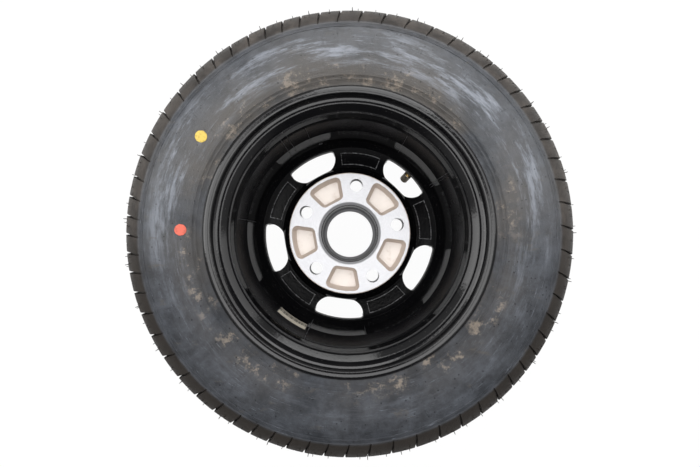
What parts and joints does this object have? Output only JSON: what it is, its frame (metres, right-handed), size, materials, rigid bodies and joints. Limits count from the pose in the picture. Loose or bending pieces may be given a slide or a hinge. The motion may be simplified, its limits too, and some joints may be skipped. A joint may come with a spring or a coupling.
{
  "type": "alloy trailer wheel",
  "caption": "Cast alloy trailer wheel with a tubeless tyre, a snap-in valve and a machined hub face with a pilot bore and bolt holes.",
  "frame": {"origin": "the wheel's centre: on its axis, midway between the rim's flanges and between the tyre's sidewalls", "axes": "+Z along the wheel's axis to the inboard side, which faces the hub, and up as the wheel lies; +X to the right and +Y to the top of the picture, with a bolt hole 82.2 degrees from +X and the valve 45.6 degrees from +X"},
  "size_m": [0.4684, 0.4684, 0.195],
  "materials": {
    "tyre_rubber": "moulded rubber with a bluish grey bloom, scuffs and dust",
    "gloss_black_casting": "gloss black paint on a casting, bare machined aluminium on the hub face",
    "valve_rubber": "matt moulded rubber",
    "brass": "turned brass",
    "washer_red": "moulded plastic washer",
    "core_steel": "bright steel",
    "cap_metal": "nickel-plated brass, worn",
    "label_foil": "silver foil, yellowed"
  },
  "bodies": {
    "wheel": {"tyre": "tyre_rubber", "wheel": "gloss_black_casting", "valve_rubber": "valve_rubber", "valve_stem": "brass", "core_body": "brass", "core_washer": "washer_red", "core_spring": "core_steel", "barrel_label": "label_foil"},
    "core_pin": {"core_pin": "core_steel", "core_disc": "valve_rubber"},
    "cap_seal": {"cap_seal": "valve_rubber"},
    "valve_cap": {"valve_cap": "cap_metal"}
  },
  "joints": [
    {"name": "core_pin_press", "type": "slide", "parent": "wheel", "child": "core_pin", "axis": [0.4308, 0.4399, 0.788], "range_m": [0, 0.0012], "stiffness_N_per_m": 2000, "deforming": ["core_spring"]},
    {"name": "cap_lift", "type": "slide", "parent": "wheel", "child": "cap_seal", "axis": [-0.4308, -0.4399, -0.788], "range_m": [0, 0.00635]},
    {"name": "cap_turn", "type": "hinge", "parent": "cap_seal", "child": "valve_cap", "pos_m": [0.07146, 0.07297, -0.0718], "axis": [-0.4308, -0.4399, -0.788], "range_deg": [0, 2880]}
  ],
  "couplings": [
    {"joint": "cap_turn", "follows": "cap_lift", "rad_per_m": 7913}
  ]
}
